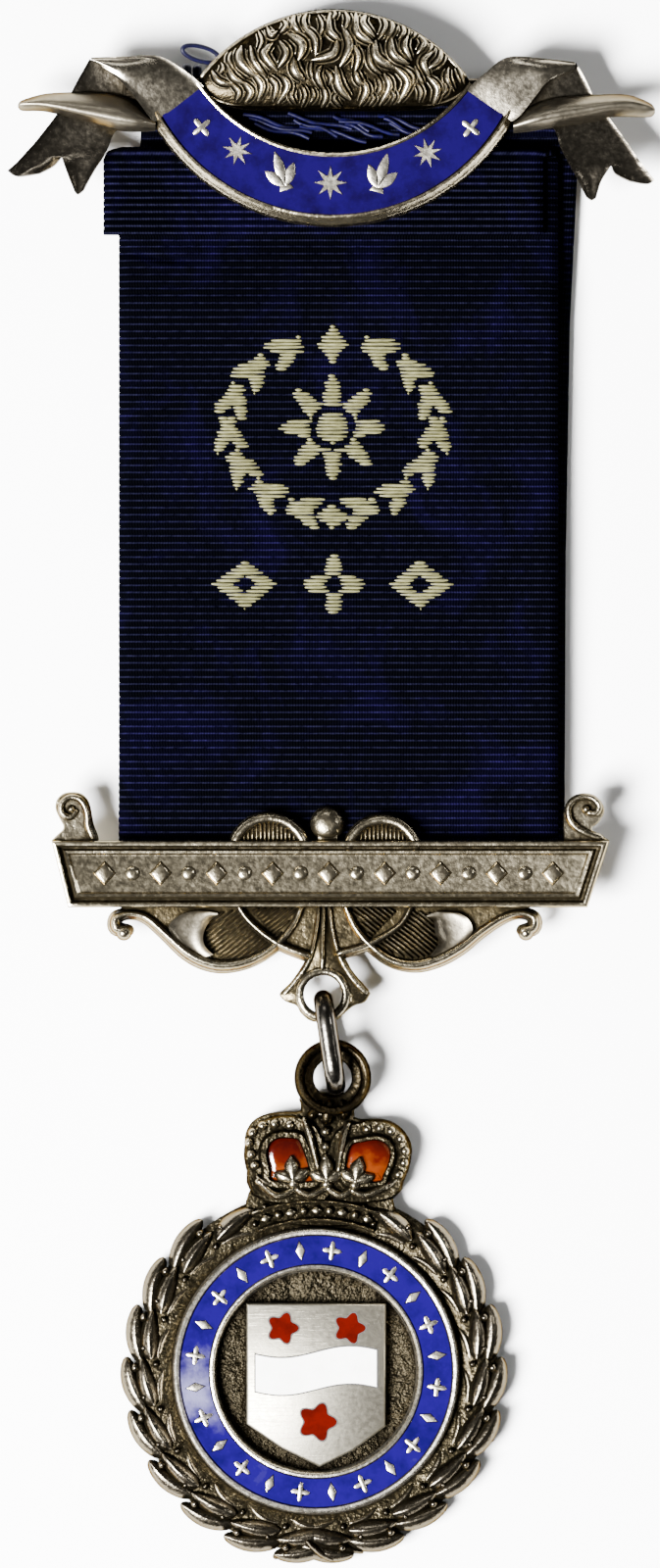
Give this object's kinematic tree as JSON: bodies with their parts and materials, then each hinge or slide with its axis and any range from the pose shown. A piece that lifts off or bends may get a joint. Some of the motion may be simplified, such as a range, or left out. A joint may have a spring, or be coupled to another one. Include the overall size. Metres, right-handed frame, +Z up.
{
  "type": "fraternal medal",
  "caption": "Fraternal medal lying face up: silver brooch with an enamelled scroll, doubled ribbon, scrolled lower bar, link and a crowned wreath medal.",
  "frame": {"origin": "on the surface that the jewel lies on, under the middle of its bounding box", "axes": "+Y along the jewel's length towards the brooch, +Z up out of its face, +X to the right of someone who looks down on it"},
  "size_m": [0.056, 0.1344, 0.007],
  "materials": {
    "silver": "cast and struck silver, tarnished brown in its hollows and bright on its ridges",
    "blue_enamel": "glossy cobalt blue enamel",
    "pin_wire": "plain drawn wire",
    "ribbon": "ribbed navy silk with woven gold-coloured ornament",
    "link_wire": "dark tarnished wire",
    "crown_enamel": "translucent orange-red enamel",
    "white_enamel": "glossy opaque white enamel",
    "red_enamel": "glossy opaque red enamel"
  },
  "bodies": {
    "root": {"brooch": "silver", "scroll_enamel": "blue_enamel", "brooch_pin": "pin_wire", "ribbon": "ribbon", "lower_bar": "silver", "jump_ring": "link_wire", "medal": "silver", "ring_enamel": "blue_enamel", "crown_enamel_left": "crown_enamel", "crown_enamel_right": "crown_enamel", "shield_enamel_white": "white_enamel", "shield_enamel_red_1": "red_enamel", "shield_enamel_red_2": "red_enamel", "shield_enamel_red_3": "red_enamel"}
  },
  "joints": []
}
